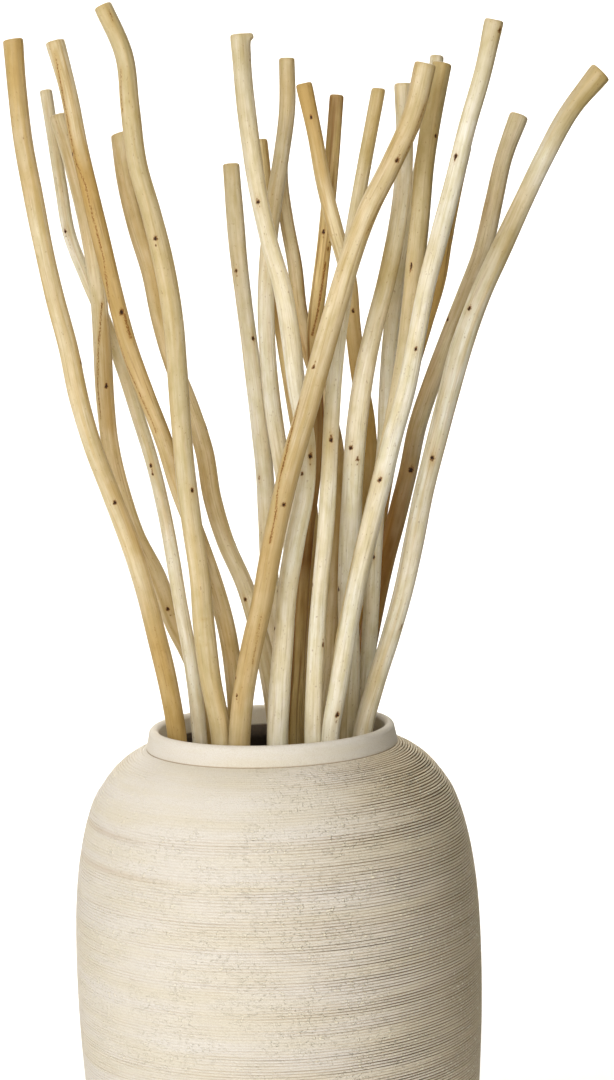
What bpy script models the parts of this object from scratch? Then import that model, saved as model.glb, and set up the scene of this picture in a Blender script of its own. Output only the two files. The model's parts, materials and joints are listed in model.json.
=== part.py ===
"""Peeled willow stems standing in a round stoneware vase.

Sizes are written in millimetres and turned into metres as the meshes are made. The origin is the
centre of the vase's foot, +Z is up, and the front of the bunch faces -Y.
"""

import math
from typing import NamedTuple

import bpy
import numpy as np

MM = 0.001
GAP = 0.3  # clearance between pieces that rest on each other

# Vase
VASE_HEIGHT = 432.5
VASE_SEGMENTS = 60
FLOOR = 10.0
LIP_TOP_RADIUS = 86.5
LIP_FOOT_RADIUS = 88.5
LIP_BAND = 13.5
LIP_BORE = 79.5
LIP_ROUNDING = 1.5
CREASE = 0.8
LIP_FOOT = VASE_HEIGHT - LIP_BAND

# Outside of the body as (radius, height), from the crease below the lip down to the foot
BODY_OUTSIDE = (
    (94.0, 416.3),
    (103.0, 411.6),
    (112.0, 404.2),
    (119.5, 395.0),
    (126.5, 384.0),
    (131.5, 371.0),
    (136.0, 354.0),
    (139.7, 333.0),
    (142.3, 306.0),
    (143.3, 275.0),
    (143.2, 240.0),
    (141.7, 202.0),
    (138.5, 160.0),
    (132.0, 116.0),
    (122.5, 72.0),
    (110.5, 32.0),
    (103.0, 10.0),
    (99.0, 2.0),
    (96.5, 0.0),
)

# Inside of the body as (radius, height), from the floor up to the bore of the lip
BODY_INSIDE = (
    (89.0, FLOOR),
    (99.0, 20.0),
    (114.5, 70.0),
    (124.5, 114.0),
    (131.3, 160.0),
    (134.7, 203.0),
    (136.2, 240.0),
    (136.3, 274.0),
    (135.3, 303.0),
    (132.7, 329.0),
    (129.0, 350.0),
    (124.5, 366.0),
    (119.3, 379.0),
    (112.0, 389.5),
    (103.0, 398.0),
    (91.0, 405.0),
    (LIP_BORE + 1.0, 411.0),
)

# Stems
STEM_SIDES = 8
STEM_RINGS = 27
# Corners stand out so far that the many-sided section has the area of a round one
SECTION_SCALE = math.sqrt(math.tau / (STEM_SIDES * math.sin(math.tau / STEM_SIDES)))
HEEL = 70.0  # how far below the mouth a stem has straightened up
FOOT_SPREAD = 1.05  # how far the feet stand out from the axis, against the mouth

# The stems' routes are drawn on the upright plane through the vase's axis, as the eye below sees
# that plane. A depth then slides each point back or forward along its own line of sight.
EYE = np.array([29.0, -1800.0, 751.0])


class Stem(NamedTuple):
    """One stem. Its route runs up from the mouth: (across, height, depth) at each point."""

    bark: str
    widths: tuple  # thickness at even steps from the foot to the tip
    tip_slope: float  # how much higher the cut tip's right side is, for its width
    route: tuple


STEMS = (
    Stem("straw", (13.5, 13.5, 13.0, 12.5), 0.1, (
        (-67, 428, -16), (-79, 500, -18), (-91, 552, -20), (-107, 600, -23), (-123, 650, -26),
        (-132, 700, -28), (-143, 750, -30), (-151, 800, -32), (-158, 849, -34), (-161.5, 913, -36))),
    Stem("straw", (10.5, 10.5, 9.5, 8.5), 0.0, (
        (-51, 428, -8), (-56, 485, -9), (-62, 525, -8), (-67, 565, -4), (-76, 615, 6),
        (-88, 660, 18), (-103, 710, 26), (-119, 752, 30), (-129, 782, 32), (-133, 815, 34),
        (-140.5, 878, 36))),
    Stem("amber", (12.5, 12.5, 12.0, 11.5), 0.0, (
        (-24, 430, -22), (-26, 475, -23), (-30, 505, -24), (-40.5, 545, -26), (-49.5, 573, -27),
        (-59, 600, -27), (-73, 650, -28), (-84.5, 680, -28), (-95, 720, -29), (-103.5, 760, -30),
        (-112.5, 805, -30), (-121, 850, -31), (-127.5, 890, -32), (-133, 911, -32))),
    Stem("straw", (13.0, 13.0, 12.5, 12.0), 0.0, (
        (-46, 430, 10), (-53, 475, 12), (-67, 508, 13), (-77, 540, 12), (-87, 560, 11),
        (-96, 587, 10), (-104, 620, 9), (-108, 665, 8), (-109, 720, 8), (-112, 760, 9),
        (-119, 805, 10), (-133, 861, 12))),
    Stem("pale", (14.5, 15.0, 14.0, 12.5), 0.0, (
        (-36, 428, -45), (-43.5, 478, -46), (-46.5, 535, -47), (-53, 595, -48), (-56.5, 660, -50),
        (-59, 720, -51), (-68.5, 780, -53), (-78, 818, -54), (-83, 850, -55), (-83, 880, -56),
        (-86, 900, -57), (-99.5, 934, -58))),
    Stem("straw", (12.5, 12.5, 12.5, 11.5), 0.2, (
        (3.5, 430, 6), (-1, 470, 4), (-8.5, 505, 2), (-18.5, 540, 1), (-29, 565, 0),
        (-37.5, 600, -1), (-43, 640, -2), (-52, 665, -3), (-64, 700, -2), (-75.5, 760, 2),
        (-85.5, 797, 6), (-91.5, 847, 10))),
    Stem("straw", (12.5, 12.5, 12.5, 12.0), 0.0, (
        (9, 430, 45), (5, 490, 46), (1.5, 555, 47), (1.5, 600, 48), (-2, 650, 49), (-7, 705, 51),
        (-12, 760, 53), (-15, 824, 55))),
    Stem("pale", (15.0, 15.0, 13.0, 12.0), 0.0, (
        (4, 428, -42), (9, 480, -42), (14.5, 530, -41), (22, 568, -41), (29.5, 603, -40),
        (31, 622, -40), (26.5, 655, -38), (22.5, 700, -34), (17, 740, -30), (7, 780, -27),
        (-1.5, 840, -23), (-5.5, 895, -20), (-6, 911.5, -20))),
    Stem("brown", (9.0, 9.0, 8.5, 8.0), 0.0, (
        (23, 430, 14), (25, 470, 12), (28, 505, 10), (31.5, 540, 8), (34, 575, 6), (31, 600, 10),
        (24.5, 640, 18), (18, 685, 24), (13, 730, 28), (10, 790, 31), (6.5, 840, 33))),
    Stem("straw", (12.5, 12.5, 12.0, 11.0), 0.0, (
        (12, 430, 26), (15, 490, 24), (18, 545, 23), (17.5, 580, 22), (13.5, 612, 21),
        (8.3, 655, 19), (6, 690, 17), (6, 735, 15), (10, 775, 12), (18, 820, 10), (23.5, 848, 9),
        (25.5, 894.5, 8))),
    Stem("straw", (11.5, 11.5, 11.0, 9.5), 0.0, (
        (37, 430, 3), (42, 470, 4), (45, 510, 7), (47.5, 550, 10), (51, 590, 13), (52, 618, 15),
        (48, 645, 18), (41, 670, 20), (34, 695, 23), (29, 722, 25), (27, 750, 26),
        (22.5, 780, 28), (19, 810, 29), (22.5, 848, 30))),
    Stem("amber", (11.0, 11.0, 11.0, 10.0), 0.0, (
        (45, 430, 26), (50, 475, 22), (56, 515, 18), (64, 555, 13), (72, 590, 7), (74.5, 625, 0),
        (71.5, 660, -6), (66.5, 690, -12), (65, 722, -20), (62.5, 750, -25), (54.5, 780, -28),
        (46, 820, -29), (41, 855, -30), (36.5, 877, -31))),
    Stem("brown", (10.5, 10.5, 10.5, 9.5), 0.0, (
        (16, 430, -10), (18.5, 460, -10), (21, 490, -10), (23, 515, -10), (25.5, 540, -10),
        (28, 560, -10), (30.5, 582, -10), (33.8, 600, -10), (37, 622, -10), (38.5, 645, -9),
        (38, 670, -8), (38.5, 710, -8), (43.5, 740, -8), (47.2, 765, -8), (51.5, 800, -8),
        (56.5, 845, -8), (59, 868.5, -8))),
    Stem("pale", (12.0, 12.0, 11.0, 9.0), 0.1, (
        (29, 428, -45), (32.5, 480, -45), (38, 535, -45), (43, 575, -45), (47, 625, -45),
        (49.5, 655, -45), (53.5, 690, -46), (60, 730, -46), (67, 773, -47), (76.5, 820, -47),
        (88, 872, -48))),
    Stem("amber", (14.5, 14.5, 15.0, 13.5), 0.0, (
        (-22.5, 430, -56), (-16, 470, -58), (-3.5, 520, -61), (6, 565, -63), (20, 617, -65),
        (31, 650, -66), (44, 692, -68), (58.5, 737, -70), (74, 780, -72), (95, 820, -74),
        (108, 845, -75), (114, 863, -76), (120.5, 888, -77))),
    Stem("straw", (15.5, 15.5, 14.5, 11.0), 0.0, (
        (54, 430, 0), (56, 480, -5), (57, 530, -14), (60, 575, -22), (64.5, 627, -29),
        (69, 660, -33), (78, 700, -36), (89.5, 740, -38), (98.5, 780, -39), (104, 820, -40),
        (104.5, 875, -41))),
    Stem("straw", (13.5, 13.5, 13.5, 12.8), 0.0, (
        (46, 430, -33), (51, 475, -35), (60.5, 520, -37), (72, 565, -40), (84.5, 610, -42),
        (96, 660, -44), (103.5, 700, -44), (109, 745, -43), (113.5, 780, -42), (118.5, 822, -42),
        (125.5, 860, -42), (132, 888, -42))),
    Stem("pale", (11.5, 11.5, 11.0, 10.0), 0.0, (
        (62, 430, 17), (67, 460, 14), (71.5, 500, 6), (74.5, 540, -1), (79, 587, -6),
        (85, 624, -10), (88, 670, -13), (94, 720, -14), (102, 760, -13), (112, 800, -12),
        (123, 855, -10), (128.5, 893, -8))),
    Stem("pale", (12.0, 12.0, 12.5, 11.0), 0.0, (
        (42, 430, -50), (50, 468, -54), (58.5, 510, -59), (68, 550, -63), (80, 592, -67),
        (93.5, 640, -71), (105.5, 680, -75), (113.5, 722, -78), (127, 770, -82), (141.5, 820, -86),
        (151.5, 856, -89), (159.5, 880, -91), (168.5, 916, -94))),
    Stem("brown", (12.0, 12.0, 12.0, 11.0), 0.0, (
        (45, 430, 50), (58, 475, 53), (70, 515, 57), (77, 560, 58), (86, 610, 56), (98, 658, 53),
        (112, 700, 50), (125, 740, 47), (134, 785, 44), (145.5, 832, 42))),
    Stem("brown", (13.5, 13.5, 13.3, 12.5), 0.0, (
        (59.5, 430, 36), (70, 490, 41), (79, 530, 44), (88, 562, 46), (99, 600, 46),
        (108.5, 640, 46), (123.5, 680, 48), (140.5, 720, 50), (157, 760, 53), (172, 820, 56),
        (184, 851, 58))),
    Stem("pale", (13.0, 13.0, 13.2, 14.8, 12.5), -0.1, (
        (64.5, 428, -20), (75, 462, -21), (86.5, 495, -22), (93.7, 518, -23), (102, 551, -24),
        (109, 583, -25), (117.5, 615, -26), (126.5, 646, -27), (136, 680, -28), (150.5, 720, -29),
        (169.5, 760, -30), (189.5, 800, -31), (211, 840, -32), (223.5, 859, -33),
        (241, 878.5, -34))),
)

# Finishes: base colour and roughness
CLAY = ((0.72, 0.66, 0.53, 1.0), 0.85)
BARK = {
    "pale": ((0.80, 0.73, 0.56, 1.0), 0.55),
    "straw": ((0.66, 0.54, 0.35, 1.0), 0.55),
    "amber": ((0.70, 0.52, 0.24, 1.0), 0.5),
    "brown": ((0.38, 0.25, 0.13, 1.0), 0.6),
}


def clear_scene():
    """Remove what the scene holds at the start."""
    for item in list(bpy.data.objects):
        bpy.data.objects.remove(item, do_unlink=True)


def make_material(name, finish):
    """A plain Principled material of one colour and roughness."""
    colour, roughness = finish
    material = bpy.data.materials.new(name)
    material.use_nodes = True
    shader = material.node_tree.nodes["Principled BSDF"]
    shader.inputs["Base Color"].default_value = colour
    shader.inputs["Roughness"].default_value = roughness
    shader.inputs["Metallic"].default_value = 0.0
    return material


def make_object(name, points, faces, material, sharp_angle):
    """A smooth-shaded object from points in millimetres."""
    mesh = bpy.data.meshes.new(name)
    mesh.from_pydata([tuple(float(value) * MM for value in point) for point in points], [], faces)
    mesh.materials.append(material)
    mesh.shade_smooth()
    mesh.set_sharp_from_angle(angle=math.radians(sharp_angle))
    thing = bpy.data.objects.new(name, mesh)
    bpy.context.scene.collection.objects.link(thing)
    return thing


def vase_profile():
    """The wall's outline, from the centre of the foot up the outside and down to the floor."""
    foot_to_crease = tuple(reversed(BODY_OUTSIDE))
    lip = (
        (LIP_FOOT_RADIUS - CREASE, LIP_FOOT - CREASE),
        (LIP_FOOT_RADIUS, LIP_FOOT),
        (LIP_TOP_RADIUS, VASE_HEIGHT - LIP_ROUNDING),
        (LIP_TOP_RADIUS - LIP_ROUNDING, VASE_HEIGHT),
        (LIP_BORE + LIP_ROUNDING, VASE_HEIGHT),
        (LIP_BORE, VASE_HEIGHT - LIP_ROUNDING),
        (LIP_BORE, LIP_FOOT),
    )
    rim_to_floor = tuple(reversed(BODY_INSIDE))
    return foot_to_crease + lip + rim_to_floor


def make_vase(material):
    """Turn the wall's outline about the axis, with a flat foot and a flat floor."""
    profile = vase_profile()
    turns = [math.tau * step / VASE_SEGMENTS for step in range(VASE_SEGMENTS)]
    points = [(radius * math.cos(turn), radius * math.sin(turn), height)
              for radius, height in profile for turn in turns]
    faces = []
    for row in range(len(profile) - 1):
        low, high = row * VASE_SEGMENTS, (row + 1) * VASE_SEGMENTS
        for step in range(VASE_SEGMENTS):
            after = (step + 1) % VASE_SEGMENTS
            faces.append((low + step, low + after, high + after, high + step))
    faces.append(tuple(reversed(range(VASE_SEGMENTS))))
    last = (len(profile) - 1) * VASE_SEGMENTS
    faces.append(tuple(range(last, last + VASE_SEGMENTS)))
    return make_object("vase", points, faces, material, sharp_angle=40)


def place_in_depth(across, height, depth):
    """Slide a point of the drawing plane along its line of sight to its depth."""
    drawn = np.array([across, 0.0, height])
    return EYE + (drawn - EYE) * (1 - depth / EYE[1])


def stem_route(stem):
    """The stem's points from the vase's floor to the tip, straight up inside the vase."""
    seen = [place_in_depth(*point) for point in stem.route]
    mouth = seen[0]
    foot = np.array([mouth[0] * FOOT_SPREAD, mouth[1] * FOOT_SPREAD, FLOOR + GAP])
    heel = mouth - np.array([0.0, 0.0, HEEL])
    return np.array([foot, heel] + seen)


def smooth_curve(points, steps=12):
    """A smooth curve through the points, each span a cubic whose ends share their slopes."""
    spans = np.linalg.norm(np.diff(points, axis=0), axis=1)[:, None]
    chords = np.diff(points, axis=0) / spans
    inner = (chords[:-1] * spans[1:] + chords[1:] * spans[:-1]) / (spans[:-1] + spans[1:])
    slopes = np.vstack([chords[:1], inner, chords[-1:]])
    share = np.linspace(0.0, 1.0, steps, endpoint=False)[:, None]
    curve = []
    for start, end, leave, arrive, span in zip(points, points[1:], slopes, slopes[1:], spans):
        curve.append(start * (1 + 2 * share) * (1 - share) ** 2
                     + end * share ** 2 * (3 - 2 * share)
                     + leave * span * share * (1 - share) ** 2
                     - arrive * span * share ** 2 * (1 - share))
    return np.vstack(curve + [points[-1:]])


def even_steps(curve, count):
    """The curve's points again, a like distance apart."""
    travel = np.concatenate([[0.0], np.cumsum(np.linalg.norm(np.diff(curve, axis=0), axis=1))])
    stops = np.linspace(0.0, travel[-1], count)
    return np.column_stack([np.interp(stops, travel, curve[:, axis]) for axis in range(3)])


def stem_rings(stem):
    """Rings of points round the stem's centre line, level at the foot and cut at the tip."""
    line = even_steps(smooth_curve(stem_route(stem)), STEM_RINGS)
    ahead = np.gradient(line, axis=0)
    ahead /= np.linalg.norm(ahead, axis=1)[:, None]
    ahead[0] = (0.0, 0.0, 1.0)
    turns = math.tau * (np.arange(STEM_SIDES) + 0.5) / STEM_SIDES
    widths = np.interp(np.linspace(0, 1, STEM_RINGS), np.linspace(0, 1, len(stem.widths)),
                       stem.widths)
    right = np.array([1.0, 0.0, 0.0])
    rings = []
    for centre, forward, width in zip(line, ahead, widths):
        right = right - forward * right.dot(forward)
        right /= np.linalg.norm(right)
        side = np.cross(forward, right)
        ring = np.outer(np.cos(turns), right) + np.outer(np.sin(turns), side)
        rings.append(centre + ring * SECTION_SCALE * width / 2)
    across = (rings[-1] - line[-1]).dot(right)
    rings[-1] = rings[-1] + np.outer(across * stem.tip_slope, ahead[-1])
    return rings


def make_stem(name, stem, material):
    """Skin the rings of one stem and close both ends."""
    rings = stem_rings(stem)
    faces = []
    for row in range(STEM_RINGS - 1):
        low, high = row * STEM_SIDES, (row + 1) * STEM_SIDES
        for step in range(STEM_SIDES):
            after = (step + 1) % STEM_SIDES
            faces.append((low + step, low + after, high + after, high + step))
    faces.append(tuple(reversed(range(STEM_SIDES))))
    last = (STEM_RINGS - 1) * STEM_SIDES
    faces.append(tuple(range(last, last + STEM_SIDES)))
    return make_object(name, np.vstack(rings), faces, material, sharp_angle=60)


def build():
    """Make the vase and every stem."""
    clear_scene()
    make_vase(make_material("clay", CLAY))
    barks = {name: make_material("willow_" + name, finish) for name, finish in BARK.items()}
    for number, stem in enumerate(STEMS, start=1):
        make_stem(f"willow_stem_{number:02d}", stem, barks[stem.bark])


build()
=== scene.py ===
"""Looks of the peeled willow stems and the round stoneware vase that they stand in.

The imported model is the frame. Each stem is swept again along the line of its own node, finer and
with its knots, flutes, cracks and rounded cut. The vase is turned again from its node's outline,
with a rolled lip and the combed grooves. Lengths in this script are millimetres until a mesh, a
light or the camera is made.
"""

import json
import math
import random
from typing import NamedTuple

import bmesh
import bpy
import numpy as np
from mathutils import Matrix, Vector, noise

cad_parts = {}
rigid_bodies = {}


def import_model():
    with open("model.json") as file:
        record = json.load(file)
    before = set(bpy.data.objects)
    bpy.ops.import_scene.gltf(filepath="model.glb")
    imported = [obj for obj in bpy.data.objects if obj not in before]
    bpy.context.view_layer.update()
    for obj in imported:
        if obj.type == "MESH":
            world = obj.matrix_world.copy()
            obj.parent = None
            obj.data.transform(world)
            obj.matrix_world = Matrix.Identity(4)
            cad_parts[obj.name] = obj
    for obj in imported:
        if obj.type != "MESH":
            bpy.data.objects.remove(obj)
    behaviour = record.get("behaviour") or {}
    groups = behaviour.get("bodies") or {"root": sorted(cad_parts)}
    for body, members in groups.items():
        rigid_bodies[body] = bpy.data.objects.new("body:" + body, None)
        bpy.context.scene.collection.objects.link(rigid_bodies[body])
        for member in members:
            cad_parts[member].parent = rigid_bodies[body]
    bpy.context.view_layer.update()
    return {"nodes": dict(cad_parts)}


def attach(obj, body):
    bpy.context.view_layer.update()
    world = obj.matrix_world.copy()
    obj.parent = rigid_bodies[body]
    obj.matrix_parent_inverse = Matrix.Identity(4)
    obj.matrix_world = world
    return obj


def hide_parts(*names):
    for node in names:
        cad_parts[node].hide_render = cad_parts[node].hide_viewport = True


MM = 0.001
WELD = 1e-6  # metres within which two corners of a node are the same

# The photograph's eye. The upright plane through the vase's axis, as it sees that plane, is what
# the marks on the stems are placed on.
EYE = np.array([29.0, -1800.0, 751.0])
LOOK_DOWN = math.radians(6.0)
ROLL = math.radians(1.8)
FOCAL_PIXELS = 2590.0
PICTURE_HEIGHT = 1080.0
SENSOR = 36.0

# Stems
SIDES = 40
STEP = 2.2  # between rings where a stem shows
HIDDEN_STEP = 9.0  # between rings inside the vase
HIDDEN_HEIGHT = 395.0  # below this a stem is inside the vase
CLOSEST_RINGS = 0.3
SWELL = 0.05  # how far the thickness wanders, as a share of it
SWELL_SCALE = 2.2  # scales are those of the noise, on round turns and hundreds of millimetres
OVAL = 0.025
TWIST = 2.5  # how far the oval's long side turns
TWIST_SCALE = 0.8
FLUTE = 0.26
FLUTE_SCALE = (2.2, 2.2, 1.0)
FINE_FLUTE = 0.14
FINE_SCALE = (6.5, 6.5, 2.2)

# Cut ends
TIP_ROUNDING = 2.0
TIP_RINGS = 5  # round the cut's edge
CUT_RINGS = 5  # over its face
SLANT_REACH = 6.0
FLARE_REACH = 18.0
BURR_REACH = 3.2
CUT_PALE = 0.75  # how pale the cut wood is
PITH_DARK = 0.7
PITH_EDGE = 0.85  # how far in over the cut's face the pith begins

# Knots and seams. Depths are shares of a knot's width, or millimetres for a seam.
KNOT_STEP = 0.55
KNOT_REACH = 3.4
KNOT_TAIL = 1.9  # how drawn out a knot is on its tail's side, and on the other
KNOT_HEAD = 1.1
KNOT_RAGGED = 0.35
KNOT_RIM = 0.09
KNOT_PIT = 0.2
RIM_PLACE = 1.7  # in half widths from the knot's heart
RIM_WIDTH = 0.7
HALO_LENGTH = 3.5
HALO_END = 3.0
HIDDEN_KNOTS = 6
HIDDEN_SPAN = (0.5, 0.97)  # where they lie, as shares of the stem's length
HIDDEN_TURNS = (0.15, 0.85)  # and round its back, as shares of half a turn
HIDDEN_WIDTHS = (1.6, 3.2)
SPECKLED = 0.6  # the share of knots that have a speck beside them
SPECK_STEPS = (1.2, 2.2)  # how far from the knot the speck lies, in widths of the knot
SPECK_WIDTHS = (0.8, 1.2)
SEAM_STEP = 5.0  # between the points that a seam is laid through
SEAM_RAGGED = 0.4
SEAM_DEPTH = 0.5

# Vase
TURNS = 116
GROOVES = 226
GROOVE_RINGS = (0.0, 0.46, 0.74)  # two on a ridge and one in the groove, as shares of the pitch
GROOVE_SHIFT = 0.06  # how far a ring strays along the outline, as a share of the pitch
GROOVE_DEPTHS = (0.65, 1.15)
GROOVE_WANDER = 0.35
FAINTEST = 0.3
WIDE_GROOVES = ((372.0, -60.0, 18.0), (349.0, -56.0, 24.0))  # height, side and reach in degrees
WIDE_DEPTH = 0.6
WIDE_SPREAD = 2.2
PRESS = 0.85  # the comb's mean press, and how much it changes round the vase
PRESS_SWING = 0.5
PRESS_SIDE = math.radians(50)
EDGE_PRESS = 0.35  # the harder press near the right edge
EDGE_SIDE = math.radians(75)
EDGE_REACH = math.radians(35)
SMOOTH_SHOULDER = 396.0  # from here up the front of the shoulder is smoother
SHOULDER_FADE = 22.0
SMOOTH_SIDE = -0.5  # in radians from the front
SMOOTH_REACH = 0.9
PLAIN_FOOT = 4.0  # the height below which there is no groove
FOOT_FADE = 10.0
LIP_STEPS = 12
LIP_ROLL = 4.0  # how tall the rounding of the lip's rim is
# painted shade in the crease at the lip's foot
CREASE_PAINTED_SHADE = 0.65
PALE_BORE = 13.0  # how far down inside the lip the pale clay shows before the bore's painted shade begins
BORE_EDGE = 1.5  # over which the painted shade fades in
INSIDE_RINGS = 48
SHARP = math.radians(70)

# Stage
FLAG_ACROSS = 700.0  # how far to the right the dark card stands
FLAG_FRONT = -1000.0
FLAG_BACK = 1100.0
FLAG_HEIGHT = 1900.0
FLOOR_SIDE = 12000.0
FLOOR_FRONT = -14000.0
BACKDROP = 3200.0
BACKDROP_BEND = 900.0
BACKDROP_HEIGHT = 4200.0
BEND_STEPS = 12
FLOOR_WHITE = (0.93, 0.93, 0.93, 1.0)
FLOOR_GLOW = 0.12
CARD_GREY = (0.04, 0.04, 0.04, 1.0)
SKY_COLOUR = (1.0, 0.85, 0.62, 1.0)
SKY_STRENGTH = 0.4

# Textures: how far drawn out along each way, how fine, and how detailed
BLOTCHES = ((1, 1, 0.2), 60, 3.0)
TINTS = ((1, 1, 0.5), 34, 1.0)
STREAKS = ((1, 1, 0.04), 260, 4.0)
LINES = ((1, 1, 0.03), 700, 2.0)
FIBRES = ((1, 1, 0.03), 1400, 2.0)
SPECKS = ((1, 1, 0.5), 800, 1.0)
CRUMBLE = ((1, 1, 0.6), 1300, 2.0)
TONES = ((1, 1, 0.06), 420, 3.0)
MOTTLES = ((1, 1, 0.5), 150, 3.0)
CLOUDS = ((0.6, 0.6, 5.0), 14, 4.0)
SAND = ((1, 1, 1), 1600, 2.0)
CRUMBS = ((1.0, 1.0, 1.7), 330, 1.0)
CRUMB_PATCHES = ((1, 1, 1.5), 28, 2.0)
BLOTCH = 0.22  # how far the bark's colour strays from its depth at that height

# Surfaces: roughness, shine, and how strong and deep the bump is
BARK_ROUGH = 0.55
BARK_SHINE = 0.3
BARK_BUMP = 0.5
BARK_RELIEF = 0.0003
CLAY_ROUGH = 0.9
CLAY_SHINE = 0.2
CLAY_BUMP = 1.0
CLAY_RELIEF = 0.0014
FIBRES_DEEP = 0.25  # how strongly the fibres, lines and specks colour the bark
LINES_DARK = 0.45
SPECKS_DARK = 0.4
SAND_SHOWS = 0.3
SAND_RELIEF = 0.4
# how strongly the bore is painted dark as shade
BORE_PAINTED_SHADE = 0.85


class Knot(NamedTuple):
    """A knot: where the eye sees it, its width, how dark and stained it is, and its tail's way."""

    across: float
    height: float
    width: float = 2.4
    dark: float = 1.0
    stain: float = 0.5
    tail: int = 1  # up the stem, or down with -1


class Seam(NamedTuple):
    """A crack or a stained streak along the bark, on a route of (across, height) points."""

    route: tuple
    width: float = 0.8
    dark: float = 0.6
    stain: float = 0.8


class Look(NamedTuple):
    """A stem's colours, its zones of tone with painted shade and painted light, its knots, its seams
    and the shape of its end.
    """

    slot: str
    light: tuple
    deep: tuple
    streak: tuple
    streaking: float  # how strongly the streaks show
    tone_and_painted_shade: tuple  # (height, share): how far the colour is from light to deep, in broad zones; partly the bark's tone, partly painted shade where stems shade each other and painted light where they lie in another's shadow
    knots: tuple = ()
    seams: tuple = ()
    flare: float = 0.0  # how much wider the end is, as a share
    burr: tuple = ()  # a torn edge: its turn from the right in degrees, its reach and its spread


class Lamp(NamedTuple):
    """A soft square light: where it hangs and what it faces in metres, its size and its watts."""

    name: str
    place: tuple
    target: tuple
    size: float
    power: float
    colour: tuple = (1.0, 1.0, 1.0)


KEY = Lamp("key", (-0.98, -2.36, 1.45), (0.0, 0.0, 0.55), 1.8, 43.0)
FILL = Lamp("fill", (0.66, -1.6, 1.9), (0.0, 0.0, 0.45), 0.5, 7.5, (1.0, 0.94, 0.82))
BACK = Lamp("back", (0.3, 1.5, 2.4), (0.0, 2.8, 0.4), 2.2, 75.0)

# Colours of the bark, from 0 to 255 as the eye sees them
# The palest bark. On stems that others shade, it is set this pale partly as painted light.
CHALK = (243, 241, 231)
CREAM = (232, 222, 196)
BUFF = (225, 215, 188)
STRAW = (219, 206, 168)
HONEY = (206, 178, 120)
TAN = (188, 170, 126)
OLIVE = (186, 158, 104)
OCHRE = (186, 156, 98)
GOLD = (232, 212, 160)
AMBER = (162, 114, 50)
DUN = (150, 112, 60)
BROWN = (120, 82, 34)
RUST = (130, 86, 38)
WALNUT = (96, 62, 30)
HEART = (52, 32, 12)
ROSY = (255, 249, 240)
DUSK = (243, 241, 228)

# Colours of the clay
CLAY_PALE = (234, 231, 226)
CLAY_CREAM = (231, 226, 213)
# painted shade: a warmer clay on the harder-combed right side, the side in shade
CLAY_WARM_SHADE = (232, 219, 188)
SAND_BROWN = (196, 180, 148)
# pale crumbs of clay on the ridges, their paleness partly a painted highlight
CRUMB_PALE_HIGHLIGHT = (255, 250, 232)
# Dust and painted shade on the grooves' floors, tan where shallow and brown where deep
GROOVE_DUST_SHADE_TAN = (166, 126, 72)
GROOVE_DUST_SHADE_BROWN = (80, 56, 18)
# painted shade inside the bore
BORE_SHADE_BROWN = (62, 42, 28)

# Each look's broad zones hold the bark's own tone and also painted shade, deeper where stems shade
# each other, near the mouth and at some tips, and painted light, paler where a stem lies in another's
# cast shadow.
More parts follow.
